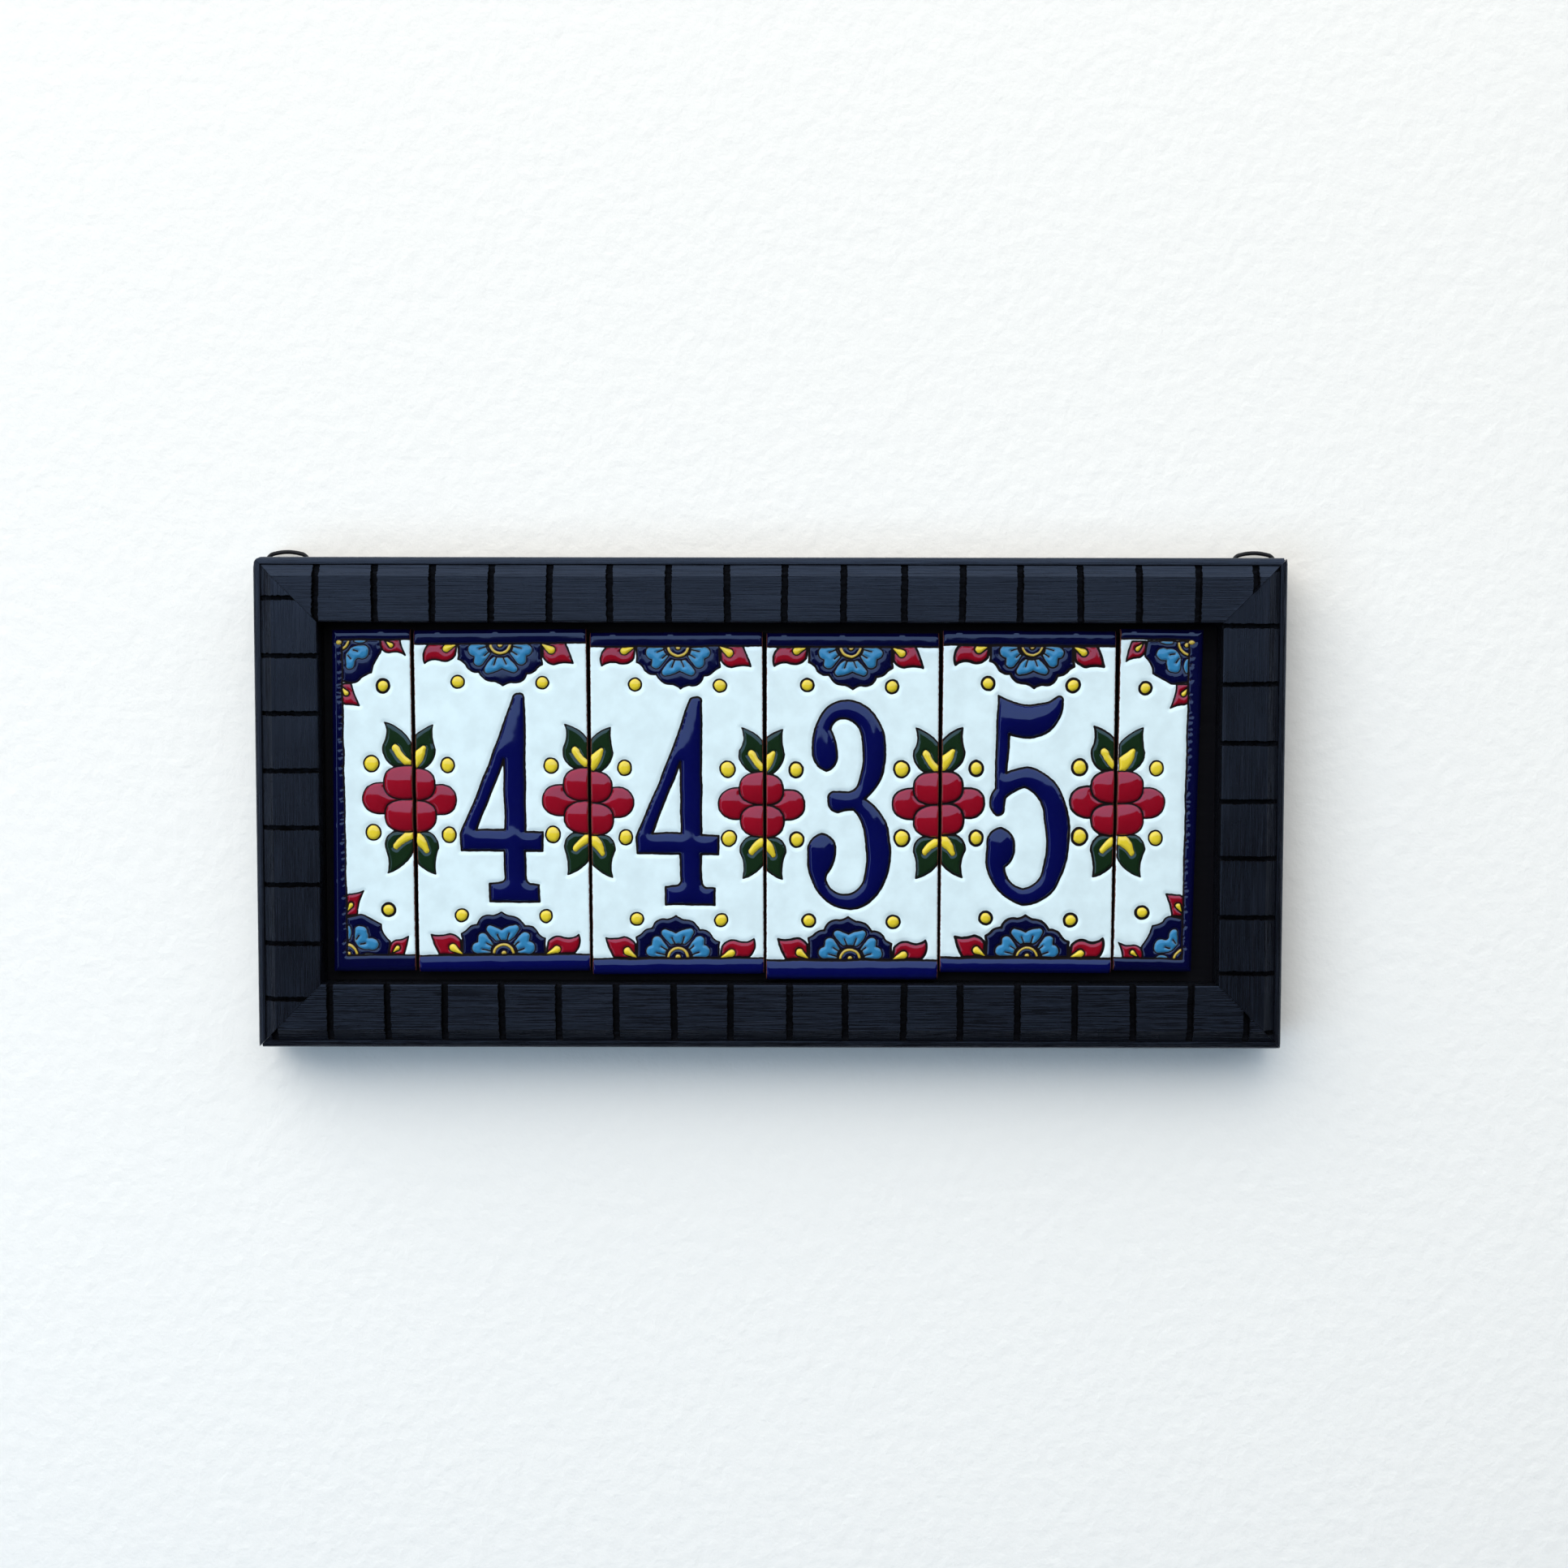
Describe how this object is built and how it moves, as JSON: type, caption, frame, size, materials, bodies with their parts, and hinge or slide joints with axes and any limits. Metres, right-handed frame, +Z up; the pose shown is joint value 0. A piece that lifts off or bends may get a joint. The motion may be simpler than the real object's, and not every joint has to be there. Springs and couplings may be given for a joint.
{
  "type": "house number plaque",
  "caption": "Framed house number plaque: glazed relief tiles on a recessed board inside a mitred, saw-notched dark wooden moulding, hung from wire rings on the back.",
  "frame": {"origin": "centre of the frame's flat back, in the plane that lies against the wall", "axes": "+X to the right seen from the front, +Y into the wall, +Z up"},
  "size_m": [0.3182, 0.0211, 0.1549],
  "materials": {
    "frame_wood": "black stained open-grained wood with a satin sheen",
    "board_paint": "flat black paint",
    "tile_glaze": "gloss white glaze with raised coloured glaze fields and dark outlines",
    "hanger_steel": "blackened sheet",
    "ring_wire": "blackened wire",
    "screw_steel": "zinc plated",
    "fastener_steel": "plain steel"
  },
  "bodies": {
    "plaque": {"top_rail": "frame_wood", "bottom_rail": "frame_wood", "left_stile": "frame_wood", "right_stile": "frame_wood", "backing_board": "board_paint", "end_tile_left": "tile_glaze", "number_tile_1": "tile_glaze", "number_tile_2": "tile_glaze", "number_tile_3": "tile_glaze", "number_tile_4": "tile_glaze", "end_tile_right": "tile_glaze", "hanger_strap_left": "hanger_steel", "hanger_strap_right": "hanger_steel", "hanger_screws": "screw_steel", "corner_v_nails": "fastener_steel", "frame_points": "fastener_steel"},
    "left_ring": {"hanger_ring_left": "ring_wire"},
    "right_ring": {"hanger_ring_right": "ring_wire"}
  },
  "joints": [
    {"name": "left_ring_swing", "type": "hinge", "parent": "plaque", "child": "left_ring", "pos_m": [-0.152, 0.0014, 0.0687], "axis": [-1, 0, 0], "range_deg": [0, 176]},
    {"name": "right_ring_swing", "type": "hinge", "parent": "plaque", "child": "right_ring", "pos_m": [0.152, 0.0014, 0.0687], "axis": [-1, 0, 0], "range_deg": [0, 176]}
  ]
}
